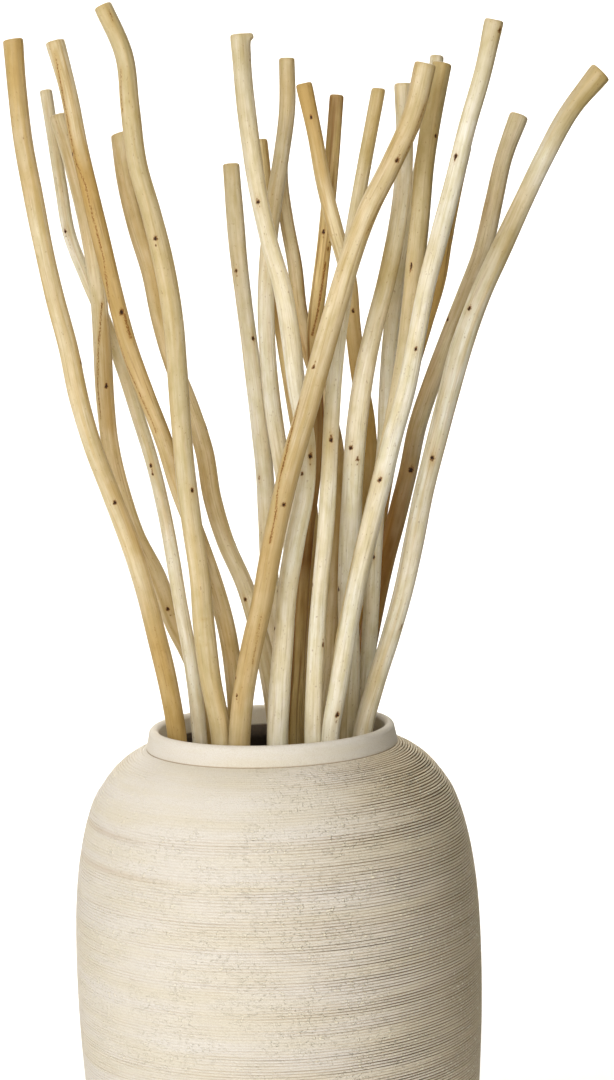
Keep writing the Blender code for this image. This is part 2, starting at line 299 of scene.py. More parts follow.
LOOKS = {
    "willow_stem_01": Look(
        "willow_straw", CREAM, OLIVE, HONEY, 0.6,
        ((880, 1.0), (780, 0.25), (550, 0.25), (450, 1.0)),
        (Knot(-157, 845, 2.2, 0.4, 0.4), Knot(-124, 690, 2.0), Knot(-104, 592, 2.2)),
        (Seam(((-159.5, 911.5), (-160.5, 883)), 1.4, 0.1, 0.7),
         Seam(((-105.5, 604.5), (-95.5, 576.5), (-84.5, 552.5)), 1.8, 0.1, 0.7)), 0.08),
    "willow_stem_02": Look(
        "willow_pale", CHALK, TAN, HONEY, 0.4,
        ((850, 0.25), (760, 0.0), (670, 0.5), (500, 0.0)),
        (Knot(-131, 781, 1.9), Knot(-78, 617, 1.9), Knot(-77, 611, 1.4))),
    "willow_stem_03": Look(
        "willow_amber", CREAM, OCHRE, OCHRE, 0.8,
        ((900, 0.0), (820, 1.0), (700, 0.75), (500, 0.25)),
        (Knot(-124.5, 833, 2.2), Knot(-94, 724, 3.0, 1.0, 1.0)),
        (Seam(((-133, 903), (-128, 867), (-124, 841), (-121.5, 827), (-116, 812.5), (-112.5, 795),
               (-105.5, 762.5), (-102, 722.5), (-92.5, 688), (-82, 662), (-73.5, 640.5)), 0.9, 0.5),
         Seam(((-92.5, 722.5), (-88.5, 706.5)), 1.4, 0.55, 1.0)), 0.08),
    "willow_stem_04": Look(
        "willow_straw", CREAM, OLIVE, OCHRE, 0.6,
        ((750, 0.0), (550, 0.5)),
        (Knot(-107, 673, 2.2), Knot(-70, 516, 2.2)),
        (Seam(((-107.5, 731), (-111.5, 699.5), (-113, 672.5), (-112, 651.5)), 0.8, 0.55),
         Seam(((-105.5, 719.5), (-107, 673.5), (-106, 646.5)), 2.4, 0.1, 0.8))),
    "willow_stem_05": Look(
        "willow_pale", BUFF, TAN, HONEY, 0.4,
        ((850, 0.5), (700, 0.5), (580, 0.0), (500, 0.5)),
        (Knot(-69, 774, 2.0), Knot(-50, 599, 2.2)),
        (Seam(((-88.5, 890), (-89, 881), (-89, 873), (-88.5, 862)), 0.9, 0.45, 0.6),
         Seam(((-95, 931), (-93.5, 927), (-92.5, 921)), 0.8, 0.4, 0.5),
         Seam(((-52, 507), (-45, 508.5), (-39, 507)), 0.6, 0.3, 0.5),
         Seam(((-51, 490), (-44, 491), (-38, 489.5)), 0.6, 0.25, 0.4))),
    "willow_stem_06": Look(
        "willow_straw", CREAM, OLIVE, OCHRE, 0.5,
        ((840, 0.5), (740, 0.75), (600, 0.25), (520, 0.0)),
        (Knot(-38, 642, 1.9), Knot(-15.5, 521, 2.0))),
    "willow_stem_07": Look(
        "willow_pale", CHALK, TAN, HONEY, 0.3,
        ((800, 0.75), (660, 0.0)),
        (Knot(-14, 750, 1.9), Knot(-4, 703, 2.2), Knot(-3, 606, 2.0, 0.6))),
    "willow_stem_08": Look(
        "willow_pale", CHALK, TAN, STRAW, 0.5,
        ((870, 0.5), (800, 0.0)),
        (Knot(2.5, 797, 2.2), Knot(33, 620, 2.8, 1.0, 0.8), Knot(27, 608, 1.8),
         Knot(4.5, 527, 1.8), Knot(4.5, 500, 1.8)),
        (), 0.12, (-15, 8, 24)),
    "willow_stem_09": Look(
        "willow_brown", STRAW, OLIVE, RUST, 0.7, ((850, 0.5), (500, 0.5))),
    "willow_stem_10": Look(
        "willow_straw", CHALK, TAN, OCHRE, 0.4,
        ((850, 0.75), (700, 0.0))),
    "willow_stem_11": Look(
        "willow_straw", CREAM, OLIVE, AMBER, 0.6,
        ((800, 0.0), (740, 0.5), (550, 0.75), (500, 0.0))),
    "willow_stem_12": Look(
        "willow_amber", CREAM, OCHRE, OCHRE, 0.6,
        ((860, 0.75), (770, 0.0), (700, 1.0)),
        (Knot(41, 853, 1.8), Knot(66, 720, 2.2)),
        (Seam(((35, 875), (40.5, 849.5), (45.5, 827), (48.5, 803), (49, 783), (51, 773)),
              1.2, 0.1, 0.8),), 0.12),
    "willow_stem_13": Look(
        "willow_brown", GOLD, BROWN, RUST, 0.8,
        ((860, 0.75), (770, 0.0), (550, 1.0), (450, 0.0)),
        (Knot(47, 775, 2.2), Knot(50, 763, 2.4, 0.6, 1.0)),
        (Seam(((48, 754.5), (45, 738.5), (41, 718), (37, 704.5)), 1.0, 0.6, 1.0),)),
    "willow_stem_14": Look(
        "willow_pale", CHALK, TAN, STRAW, 0.4,
        ((820, 1.0), (700, 0.0), (650, 0.5), (600, 0.0)),
        (Knot(48, 631, 2.6, 1.0, 0.6), Knot(38, 487, 2.0), Knot(31, 530, 2.0))),
    "willow_stem_15": Look(
        "willow_amber", CREAM, OLIVE, OCHRE, 0.5,
        ((850, 0.5), (780, 0.0), (600, 0.5), (450, 0.75)),
        (Knot(99, 822, 2.6), Knot(37, 682, 1.9), Knot(13.5, 587, 2.2), Knot(-25, 466, 1.6),
         Knot(-24, 453, 1.6)),
        (Seam(((26, 658.5), (18, 630), (9.5, 598.5), (7.5, 579), (3, 561)), 1.0, 0.6, 1.0),
         Seam(((55, 700), (40, 658), (26.5, 619.5), (16.5, 587.5), (4, 529)), 2.6, 0.1, 0.7),
         Seam(((119.5, 859.5), (108.5, 832.5), (100, 814), (87.5, 792.5), (76.5, 772)), 1.2, 0.4),
         Seam(((-4, 510), (-8, 495), (-12, 475)), 0.8, 0.5)), 0.06),
    "willow_stem_16": Look(
        "willow_pale", CHALK, TAN, HONEY, 0.4,
        ((860, 0.5), (810, 0.0), (750, 1.0), (670, 0.0)),
        (Knot(61.5, 625, 2.2), Knot(66, 617, 2.2, 0.8), Knot(50, 526, 2.0))),
    "willow_stem_17": Look(
        "willow_straw", CREAM, TAN, OCHRE, 0.4,
        ((840, 1.0), (600, 0.25)),
        (Knot(107, 750, 2.0), Knot(107, 745, 1.4, 0.7), Knot(126, 838, 2.0))),
    "willow_stem_18": Look(
        "willow_pale", CHALK, TAN, HONEY, 0.3, ((730, 0.25), (700, 0.0)), (Knot(75, 548, 2.2),)),
    "willow_stem_19": Look(
        "willow_pale", CHALK, TAN, STRAW, 0.4,
        ((900, 0.75), (800, 0.0)),
        (Knot(171, 908, 2.4), Knot(139.5, 824, 2.0), Knot(108.5, 692, 1.8), Knot(81, 602, 2.4),
         Knot(46.5, 437, 2.6)), (), 0.15),
    "willow_stem_20": Look(
        "willow_brown", HONEY, OCHRE, WALNUT, 0.7, ((780, 0.5), (500, 0.5)),
        (Knot(136, 768, 2.0),)),
    "willow_stem_21": Look(
        "willow_brown", CREAM, DUN, OCHRE, 0.4,
        ((650, 0.0), (560, 1.0)),
        (Knot(103, 608, 3.0, 1.0, 0.8), Knot(131, 712, 2.0)), (), 0.13),
    "willow_stem_22": Look(
        "willow_pale", CHALK, TAN, HONEY, 0.5,
        ((860, 1.0), (820, 0.25), (760, 0.75), (700, 0.0)),
        (Knot(146, 719, 2.2), Knot(118, 616, 2.6, 0.9, 1.0), Knot(92, 497, 2.0)), (), 0.25),
}


def linear(colour, alpha=1.0):
    """A colour of 0 to 255 as the eye sees it, turned into the linear one that a shader takes."""
    return tuple((part / 255) ** 2.2 for part in colour) + (alpha,)


def clear_scene():
    """Remove what the file holds at the start."""
    for item in list(bpy.data.objects):
        bpy.data.objects.remove(item, do_unlink=True)


def welded(node):
    """The node's mesh with its split corners joined again."""
    body = bmesh.new()
    body.from_mesh(node.data)
    bmesh.ops.remove_doubles(body, verts=body.verts, dist=WELD)
    return body


def make_object(name, points, faces, material):
    """A smooth-shaded object from points in millimetres."""
    mesh = bpy.data.meshes.new(name)
    mesh.from_pydata((np.asarray(points) * MM).tolist(), [], faces)
    mesh.materials.append(material)
    mesh.shade_smooth()
    thing = bpy.data.objects.new(name, mesh)
    bpy.context.scene.collection.objects.link(thing)
    return thing


def paint_on(thing, name, kind, values):
    """Keep a value for each corner of the mesh, for its material to read."""
    field = "vector" if kind == "FLOAT_VECTOR" else "value"
    layer = thing.data.attributes.new(name, kind, "POINT")
    layer.data.foreach_set(field, np.asarray(values, dtype=float).ravel())


def tube_faces(rings, sides):
    """Quads between rings of points, one ring after another."""
    faces = []
    for row in range(rings - 1):
        low = row * sides
        for side in range(sides):
            after = (side + 1) % sides
            faces.append((low + side, low + after, low + sides + after, low + sides + side))
    return faces


def add(tree, kind, inputs=None, **settings):
    """A node of a kind. An input is given by name or number, as a value or as the socket it takes."""
    made = tree.nodes.new(kind)
    for name, value in settings.items():
        setattr(made, name, value)
    for name, value in (inputs or {}).items():
        if isinstance(value, bpy.types.NodeSocket):
            tree.links.new(value, made.inputs[name])
        else:
            made.inputs[name].default_value = value
    return made


def blend_colours(tree, share, first, second, how="MIX"):
    """The socket of one colour mixed with another."""
    mixed = add(tree, "ShaderNodeMix", {0: share, 6: first, 7: second}, data_type="RGBA",
                blend_type=how, clamp_factor=True)
    return mixed.outputs[2]


def stretched_noise(tree, place, stretch, scale, detail):
    """Noise drawn out along one way: the places are scaled first."""
    drawn = add(tree, "ShaderNodeVectorMath", {0: place, 1: stretch}, operation="MULTIPLY")
    made = add(tree, "ShaderNodeTexNoise",
               {"Vector": drawn.outputs[0], "Scale": scale, "Detail": detail, "Roughness": 0.55})
    return made.outputs[0]


def spread(tree, value, low, high, bottom=0.0, top=1.0):
    """A value's stretch from low to high, spread from bottom to top and held there beyond."""
    made = add(tree, "ShaderNodeMapRange",
               {"Value": value, "From Min": low, "From Max": high, "To Min": bottom, "To Max": top})
    return made.outputs[0]


def multiply(tree, first, second):
    """The socket of one value times another."""
    return add(tree, "ShaderNodeMath", {0: first, 1: second}, operation="MULTIPLY").outputs[0]


def plus(tree, first, second, clamp=False):
    """The socket of one value plus another, held from 0 to 1 if clamped."""
    return add(tree, "ShaderNodeMath", {0: first, 1: second}, operation="ADD",
               use_clamp=clamp).outputs[0]


def minus(tree, first, second):
    """The socket of one value less another."""
    return add(tree, "ShaderNodeMath", {0: first, 1: second}, operation="SUBTRACT").outputs[0]


def make_bumpy(tree, shader, height, strength, relief):
    """Let a height dent the shader's surface."""
    bump = add(tree, "ShaderNodeBump", {"Height": height, "Strength": strength, "Distance": relief})
    tree.links.new(bump.outputs[0], shader.inputs["Normal"])


def painted(tree, name, part="Vector"):
    """The socket of what was kept on the mesh under a name."""
    return add(tree, "ShaderNodeAttribute", attribute_name=name).outputs[part]


def new_material(name, roughness, specular):
    """An empty node material with its shader's even numbers set."""
    material = bpy.data.materials.new(name)
    material.use_nodes = True
    shader = material.node_tree.nodes["Principled BSDF"]
    shader.inputs["Roughness"].default_value = roughness
    shader.inputs["Specular IOR Level"].default_value = specular
    return material, material.node_tree, shader


def wood_colour(tree, grain, look, streaks, lines, fibres):
    """Bare wood: pale to deep in zones of tone, painted shade and painted light, and in blotches,
    with a rosy tint, streaks, fibres and specks.
    """
    blotches = spread(tree, stretched_noise(tree, grain, *BLOTCHES), 0.38, 0.64, -BLOTCH, BLOTCH)
    # the zones' depth: the bark's tone mixed with painted shade and painted light
    depth = plus(tree, painted(tree, "tone_and_painted_shade", "Fac"), blotches, clamp=True)
    tint = spread(tree, stretched_noise(tree, grain, *TINTS), 0.45, 0.65)
    tone = spread(tree, stretched_noise(tree, grain, *TONES), 0.35, 0.65)
    mottle = spread(tree, stretched_noise(tree, grain, *MOTTLES), 0.4, 0.65)
    specks = spread(tree, stretched_noise(tree, grain, *SPECKS), 0.68, 0.76)
    deep, rust, dusk = linear(look.deep), linear(RUST), linear(DUSK)

    colour = blend_colours(tree, depth, linear(look.light), deep)
    colour = blend_colours(tree, tint, colour, linear(ROSY), "MULTIPLY")
    colour = blend_colours(tree, multiply(tree, streaks, look.streaking), colour, linear(look.streak))
    colour = blend_colours(tree, spread(tree, fibres, 0.35, 0.7, 0.0, FIBRES_DEEP), colour, deep)
    colour = blend_colours(tree, multiply(tree, lines, LINES_DARK * look.streaking), colour, rust)
    colour = blend_colours(tree, tone, colour, dusk, "MULTIPLY")
    colour = blend_colours(tree, mottle, colour, dusk, "MULTIPLY")
    return blend_colours(tree, multiply(tree, specks, SPECKS_DARK), colour, rust)


def marked_colour(tree, grain, colour, fibres):
    """The wood's colour with its stains, its pale cut and its dark knots and cracks."""
    dark, stain, cut = add(tree, "ShaderNodeSeparateXYZ", {0: painted(tree, "marks")}).outputs
    soft_stain = multiply(tree, stain, spread(tree, fibres, 0.3, 0.6, 0.55, 1.0))
    crumbled = spread(tree, stretched_noise(tree, grain, *CRUMBLE), 0.3, 0.7, -0.2, 0.2)
    ragged = plus(tree, dark, crumbled)

    colour = blend_colours(tree, soft_stain, colour, linear(OCHRE))
    colour = blend_colours(tree, cut, colour, linear(CREAM))
    colour = blend_colours(tree, spread(tree, ragged, 0.25, 0.5, 0.0, 0.9), colour, linear(RUST))
    return blend_colours(tree, spread(tree, ragged, 0.56, 0.72), colour, linear(HEART))


def bark_material(name, look):
    """Peeled willow: wood with streaks and fibres drawn out along the stem, and its marks."""
    material, tree, shader = new_material(name, BARK_ROUGH, BARK_SHINE)
    grain = painted(tree, "grain")
    streaks = spread(tree, stretched_noise(tree, grain, *STREAKS), 0.47, 0.66)
    lines = spread(tree, stretched_noise(tree, grain, *LINES), 0.6, 0.72)
    fibres = stretched_noise(tree, grain, *FIBRES)
    colour = wood_colour(tree, grain, look, streaks, lines, fibres)
    colour = marked_colour(tree, grain, colour, fibres)
    tree.links.new(colour, shader.inputs["Base Color"])
    height = minus(tree, plus(tree, streaks, fibres), lines)
    make_bumpy(tree, shader, height, BARK_BUMP, BARK_RELIEF)
    return material


def clay_material():
    """Combed stoneware: sandy, warmer on its right side as painted shade, with pale crumbs whose
    paleness is partly a painted highlight, dust and painted shade on the grooves' floors and in the
    lip's crease, and painted shade down the bore.
    """
    material, tree, shader = new_material("clay_combed", CLAY_ROUGH, CLAY_SHINE)
    place = add(tree, "ShaderNodeTexCoord").outputs["Object"]
    groove, bare, inside = add(tree, "ShaderNodeSeparateXYZ", {0: painted(tree, "comb")}).outputs

    cloud = spread(tree, stretched_noise(tree, place, *CLOUDS), 0.4, 0.62)
    sand = stretched_noise(tree, place, *SAND)
    dashes = spread(tree, stretched_noise(tree, place, *CRUMBS), 0.59, 0.64)
    patches = spread(tree, stretched_noise(tree, place, *CRUMB_PATCHES), 0.35, 0.55)

    combed = minus(tree, 1.0, bare)
    crumbs = multiply(tree, multiply(tree, dashes, combed), patches)

    colour = blend_colours(tree, cloud, linear(CLAY_PALE), linear(CLAY_CREAM))
    # painted shade: the clay turns warmer where the comb pressed hardest, on the shaded right side
    colour = blend_colours(tree, spread(tree, combed, 0.7, 1.4, 0.0, 0.7), colour,
                           linear(CLAY_WARM_SHADE))
    colour = blend_colours(tree, spread(tree, sand, 0.4, 0.75, 0.0, SAND_SHOWS), colour,
                           linear(SAND_BROWN))
    # crumbs of clay, paler partly as a painted highlight on the ridges
    colour = blend_colours(tree, crumbs, colour, linear(CRUMB_PALE_HIGHLIGHT))
    # dust and painted shade on the grooves' floors, strongest on the shaded right side
    colour = blend_colours(tree, spread(tree, groove, 0.0, 0.6, 0.0, 0.6), colour,
                           linear(GROOVE_DUST_SHADE_TAN))
    colour = blend_colours(tree, spread(tree, groove, 0.35, 1.0), colour, linear(GROOVE_DUST_SHADE_BROWN))
    # painted shade down the bore
    colour = blend_colours(tree, multiply(tree, inside, BORE_PAINTED_SHADE), colour, linear(BORE_SHADE_BROWN))
    tree.links.new(colour, shader.inputs["Base Color"])
    height = plus(tree, multiply(tree, sand, SAND_RELIEF), crumbs)
    make_bumpy(tree, shader, height, CLAY_BUMP, CLAY_RELIEF)
    return material


def stem_sections(node):
    """The centre and thickness of the node's rings from the foot up, and the way its cut faces."""
    body = welded(node)
    low = min(vert.co.z for vert in body.verts)
    ring = [vert for vert in body.verts if vert.co.z < low + 10 * WELD]
    seen = set(ring)
    centres, radii = [], []
    while ring:
        corners = np.array([vert.co for vert in ring]) / MM
        centres.append(corners.mean(axis=0))
        radii.append(np.linalg.norm(corners - centres[-1], axis=1).mean())
        ahead = []
        for vert in ring:
            for edge in vert.link_edges:
                other = edge.other_vert(vert)
                if other not in seen:
                    seen.add(other)
                    ahead.append(other)
        ring = ahead
    sides = len(corners)
    body.free()
    round_share = math.sqrt(sides * math.sin(math.tau / sides) / math.tau)
    cut = np.linalg.svd(corners - centres[-1])[2][2]
    return np.array(centres), np.array(radii) * round_share, cut * np.sign(cut[2])


def read_between(values, steps):
    """Values given at whole steps, read smoothly at any step in between."""
    slopes = np.gradient(values, axis=0)
    low = np.clip(np.floor(steps).astype(int), 0, len(values) - 2)
    share = steps - low
    if values.ndim > 1:
        share = share[:, None]
    return (values[low] * (1 + 2 * share) * (1 - share) ** 2
            + values[low + 1] * share ** 2 * (3 - 2 * share)
            + slopes[low] * share * (1 - share) ** 2
            - slopes[low + 1] * share ** 2 * (1 - share))


class Line:
    """A stem's centre line, read by how far along it a place is."""

    def __init__(self, node):
        self.centres, self.radii, self.cut = stem_sections(node)
        travel = np.linalg.norm(np.diff(self.centres, axis=0), axis=1)
        self.travel = np.concatenate([[0.0], np.cumsum(travel)])
        self.length = self.travel[-1]

    def steps(self, along):
        """The places as steps between the node's rings."""
        return np.interp(along, self.travel, range(len(self.travel)))

    def points(self, along):
        """The line's points at the places."""
        return read_between(self.centres, self.steps(along))

    def radius(self, along):
        """Half the thickness at the places."""
        return read_between(self.radii, self.steps(along))

    def ahead(self, along):
        """The way the line runs at the places."""
        way = self.points(np.minimum(along + 1, self.length)) - self.points(np.maximum(along - 1, 0))
        return way / np.linalg.norm(way, axis=1)[:, None]


def seen_place(line, across, height):
    """Where the eye's ray through a point of the drawing plane meets the stem: a spot and place."""
    ray = np.array([across, 0.0, height]) - EYE
    ray /= np.linalg.norm(ray)
    along = np.arange(0.0, line.length, 0.5)
    points = line.points(along)
    reach = (points - EYE).dot(ray)
    misses = EYE + reach[:, None] * ray - points
    near = np.linalg.norm(misses, axis=1).argmin()
    radius = line.radius(along[near:near + 1])[0]
    aside = misses[near] * min(1.0, 0.97 * radius / np.linalg.norm(misses[near]))
    lift = math.sqrt(max(radius ** 2 - aside.dot(aside), 0.0))
    return points[near] + aside - ray * lift, along[near]


def hidden_knots(line, draw):
    """A few knots on the side turned away from the eye, as (spot, place, knot)."""
    knots = []
    for _ in range(HIDDEN_KNOTS):
        along = np.array([draw.uniform(*HIDDEN_SPAN) * line.length])
        turn = draw.uniform(*HIDDEN_TURNS) * math.pi
        away = np.array([math.cos(turn), math.sin(turn), 0.0])
        ahead = line.ahead(along)[0]
        away -= ahead * away.dot(ahead)
        away /= np.linalg.norm(away)
        spot = line.points(along)[0] + away * line.radius(along)[0]
        knot = Knot(0, 0, draw.uniform(*HIDDEN_WIDTHS), 0.9, 0.5, draw.choice((-1, 1)))
        knots.append((spot, along[0], knot))
    return knots


def speck_beside(line, spot, along, knot, draw):
    """A speck a little way up or down the bark from a knot."""
    step = draw.choice((-1, 1)) * draw.uniform(*SPECK_STEPS) * knot.width
    ahead = line.ahead(np.array([along]))[0]
    aside = np.cross(ahead, spot - line.points(np.array([along]))[0])
    aside *= draw.uniform(-0.15, 0.15)
    speck = Knot(0, 0, draw.uniform(*SPECK_WIDTHS), 0.75, 0.3)
    return spot + ahead * step + aside, along + step, speck


def ring_places(line, knots):
    """How far along the stem each ring lies: wide apart in the vase, close together at a mark."""
    rise = line.centres[:, 2]
    mouth = np.interp(HIDDEN_HEIGHT, rise, line.travel)
    last = line.length - TIP_ROUNDING
    places = [np.arange(0.0, mouth, HIDDEN_STEP), np.arange(mouth, last, STEP)]
    for _, along, _ in knots:
        places.append(np.arange(along - KNOT_REACH, along + KNOT_REACH, KNOT_STEP))
    places = np.unique(np.concatenate(places))
    places = places[(places >= 0.0) & (places < last - 0.4)]
    clear = np.concatenate([[True], np.diff(places) > CLOSEST_RINGS])
    return places[clear]


def ring_frames(line, along):
    """At each place the centre, the way ahead and two ways across, turning as little as possible."""
    centres, ahead = line.points(along), line.ahead(along)
    right = np.array([1.0, 0.0, 0.0])
    rights = []
    for forward in ahead:
        right = right - forward * right.dot(forward)
        right /= np.linalg.norm(right)
        rights.append(right)
    rights = np.array(rights)
    return centres, ahead, rights, np.cross(ahead, rights)


def wander(values, scale, seed):
    """Smooth noise of one number for each row of values."""
    shift = Vector((seed * 7.3, seed * 1.7, seed * 3.1))
    return np.array([noise.noise(Vector(row) * scale + shift) for row in values])


def skin_shape(line, along, turns, seed):
    """The skin's distance from the centre line at each place and turn: swell, oval and flutes."""
    round_turn = np.column_stack([np.cos(turns), np.sin(turns)])
    spots = np.array([(x, y, place / 100) for place in along for x, y in round_turn])
    lines = np.column_stack([np.zeros(len(along)), np.zeros(len(along)), along / 100])
    base = line.radius(along) * (1 + SWELL * wander(lines, SWELL_SCALE, seed + 40))
    twist = TWIST * wander(lines, TWIST_SCALE, seed + 80)
    oval = 1 + OVAL * np.cos(2 * (turns[None] - twist[:, None]))
    flutes = wander(spots * FLUTE_SCALE, 1.0, seed) * FLUTE
    fine = wander(spots * FINE_SCALE, 1.0, seed + 20) * FINE_FLUTE
    return base[:, None] * oval + (flutes + fine).reshape(len(along), len(turns))


def end_shape(line, along, turns, look):
    """How much the end flares, and how far its torn edge stands out, at each place and turn."""
    short = (line.length - along)[:, None]
    flare = 1 + look.flare * np.exp(-(short / FLARE_REACH) ** 2)
    if not look.burr:
        return flare, 0.0
    turn, reach, width = look.burr
    aside = np.angle(np.exp(1j * (turns - math.radians(turn))))[None]
    tear = np.exp(-(aside / math.radians(width)) ** 2) * np.exp(-(short / BURR_REACH) ** 2)
    return flare, reach * tear


def seam_spots(line, route):
    """Points a few millimetres apart along a seam, on the skin."""
    places = np.array(route, dtype=float)
    travel = np.concatenate([[0.0], np.cumsum(np.linalg.norm(np.diff(places, axis=0), axis=1))])
    stops = np.linspace(0.0, travel[-1], max(3, int(travel[-1] / SEAM_STEP)))
    across, heights = (np.interp(stops, travel, places[:, axis]) for axis in range(2))
    return np.array([seen_place(line, x, height)[0] for x, height in zip(across, heights)])


def seam_gap(points, spots):
    """Each point's distance from the seam that runs through the spots."""
    gap = np.full(len(points), np.inf)
    for start, end in zip(spots, spots[1:]):
        way = end - start
        share = np.clip((points - start).dot(way) / way.dot(way), 0, 1)
        gap = np.minimum(gap, np.linalg.norm(points - start - share[:, None] * way, axis=1))
    return gap


def knot_mark(points, line, spot, along, knot):
    """How dark and how stained a knot makes each point, and how far it lifts it."""
    ahead = line.ahead(np.array([along]))[0]
    offset = points - spot
    lengthwise = offset.dot(ahead)
    sideways = np.sqrt(np.maximum((offset ** 2).sum(axis=1) - lengthwise ** 2, 0.0))
    drawn_out = np.where(lengthwise * knot.tail > 0, KNOT_TAIL, KNOT_HEAD)
    heart = np.hypot(lengthwise / drawn_out, sideways) / (knot.width / 2)
    halo = np.hypot(lengthwise / HALO_LENGTH, sideways) / knot.width
    near = halo < HALO_END
    heart[near] *= 1 + KNOT_RAGGED * wander(offset[near], 0.45, along)
    rim = np.exp(-((heart - RIM_PLACE) / RIM_WIDTH) ** 2)
    pit = np.exp(-heart ** 2 * 1.3)
    lift = knot.width * (KNOT_RIM * rim - KNOT_PIT * knot.dark * pit)
    return knot.dark * np.exp(-0.7 * heart ** 2), knot.stain * np.exp(-halo ** 2 * 1.4), lift


def seam_mark(points, line, seam):
    """How dark and how stained a seam makes each point, and how far it lifts it."""
    gap = seam_gap(points, seam_spots(line, seam.route)) / seam.width
    gap *= 1 + SEAM_RAGGED * wander(points, 0.12, 7)
    core = np.exp(-gap ** 2)
    return seam.dark * core, seam.stain * np.exp(-(gap / 2) ** 2), -SEAM_DEPTH * seam.dark * core


def mark_skin(points, centres, knots, seams, line):
    """Sink the knots and seams into the skin. Gives the points, how dark and how stained."""
    outward = points - centres
    outward /= np.linalg.norm(outward, axis=1)[:, None]
    marks = [knot_mark(points, line, *knot) for knot in knots]
    marks += [seam_mark(points, line, seam) for seam in seams]
    darks, stains, lifts = np.array(marks).swapaxes(0, 1)
    return points + outward * lifts.sum(axis=0)[:, None], darks.max(axis=0), stains.max(axis=0)


def cut_end(base, last_frame, turns, shape):
    """Rings that round the cut's edge and run in over its face to a point."""
    centre, ahead, right, side = last_frame
    rings = []
    for step in range(1, TIP_RINGS + 1):
        bend = math.pi / 2 * step / TIP_RINGS
        rings.append((base + TIP_ROUNDING * math.sin(bend),
                      shape - TIP_ROUNDING * (1 - math.cos(bend))))
    flat = shape - TIP_ROUNDING
    for step in range(1, CUT_RINGS + 1):
        rings.append((base + TIP_ROUNDING, flat * (1 - step / CUT_RINGS)))
    points = []
    for along, radii in rings:
        across = np.outer(np.cos(turns) * radii, right) + np.outer(np.sin(turns) * radii, side)
        points.append(centre + ahead * (along - base) + across)
    return points


def slant(points, line):
    """Tilt the last few millimetres to the way that the node's cut faces."""
    tip, ahead = line.centres[-1], line.ahead(np.array([line.length]))[0]
    offset = points - tip
    short = -offset.dot(ahead)
    share = np.clip(1 - short / SLANT_REACH, 0, 1) ** 2
    across = offset - np.outer(offset.dot(ahead), ahead)
    rise = -across.dot(line.cut) / line.cut.dot(ahead)
    return points + np.outer(share * rise, ahead)


def all_knots(line, look, draw):
    """The knots that the eye sees, those on the far side, and specks beside some, each placed."""
    knots = [seen_place(line, knot.across, knot.height) + (knot,) for knot in look.knots]
    knots += hidden_knots(line, draw)
    return knots + [speck_beside(line, *knot, draw) for knot in knots if draw.random() < SPECKLED]


def tone_and_shade_depths(line, centres, look, end_rings):
    """How deep each ring's colour is, from the foot up to the last ring of the cut: the bark's tone
    with painted shade and painted light.
    """
    rises = np.concatenate([centres[:, 2], np.full(end_rings, line.centres[-1, 2])])
    heights, shares = zip(*sorted(look.tone_and_painted_shade))
    return np.interp(rises, heights, shares)


def make_stem(name, node, look, number):
    """Sweep one stem along its node's line and dress it."""
    line = Line(node)
    draw = random.Random(number)
    knots = all_knots(line, look, draw)
    along = ring_places(line, knots)
    turns = math.tau * np.arange(SIDES) / SIDES
    centres, ahead, rights, sides = ring_frames(line, along)
    flare, tear = end_shape(line, along, turns, look)
    shape = skin_shape(line, along, turns, number) * flare + tear
    rightward = np.cos(turns)[None, :, None] * rights[:, None]
    sideward = np.sin(turns)[None, :, None] * sides[:, None]
    skin = centres[:, None] + (rightward + sideward) * shape[:, :, None]
    skin_points, dark, stain = mark_skin(
        skin.reshape(-1, 3), np.repeat(centres, SIDES, axis=0), knots, look.seams, line)

    base = line.length - TIP_ROUNDING
    last_centre = centres[-1] + ahead[-1] * (base - along[-1])
    end = cut_end(base, (last_centre, ahead[-1], rights[-1], sides[-1]), turns, shape[-1])
    points = slant(np.vstack([skin_points] + end), line)
    faces = tube_faces(len(along) + len(end), SIDES)
    faces.append(tuple(reversed(range(SIDES))))
    stem = make_object(name, points, faces, bark_material(name, look))
    join_point(stem)

    corners = len(stem.data.vertices)  # the cut's innermost ring is one corner now
    grain, marks = stem_paint(along, turns, len(end), line, dark, stain, draw)
    paint_on(stem, "grain", "FLOAT_VECTOR", grain[:corners])
    paint_on(stem, "marks", "FLOAT_VECTOR", marks[:corners])
    # the zones' depth for each corner, partly painted shade and painted light
    tone_and_painted_shade = np.repeat(tone_and_shade_depths(line, centres, look, len(end)), SIDES)
    paint_on(stem, "tone_and_painted_shade", "FLOAT", tone_and_painted_shade[:corners])
    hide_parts(node.name)
    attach(stem, "root")


def join_point(stem):
    """Join the innermost ring of the cut into one corner."""
    body = bmesh.new()
    body.from_mesh(stem.data)
    body.verts.ensure_lookup_table()
    inner = body.verts[-SIDES:]
    middle = sum((vert.co for vert in inner), Vector()) / SIDES
    bmesh.ops.pointmerge(body, verts=inner, merge_co=middle)
    body.to_mesh(stem.data)
    body.free()


def stem_paint(along, turns, end_rings, line, dark, stain, draw):
    """For each corner: where it lies in the grain, and how dark, stained or cut it is."""
    circle = np.column_stack([np.cos(turns), np.sin(turns)])
    width = line.radii.mean()
    start = draw.uniform(0.0, 3.0)
    grain = [(x * width * MM + start, y * width * MM, place * MM)
             for place in along for x, y in circle]
    marks = [(heart, soft, 0.0) for heart, soft in zip(dark, stain)]
    for step in range(end_rings):
        inner = max(0.0, (step + 1 - TIP_RINGS) / CUT_RINGS)
        for x, y in circle:
            reach = width * (1 - inner) * MM
            grain.append((x * reach + start, y * reach, line.length * MM))
            cut = 0.0 if step < TIP_RINGS - 2 else CUT_PALE
            pith = PITH_DARK if inner > PITH_EDGE else 0.0
            marks.append((pith, 0.25 - 0.2 * inner, cut))
    return np.array(grain), np.array(marks)


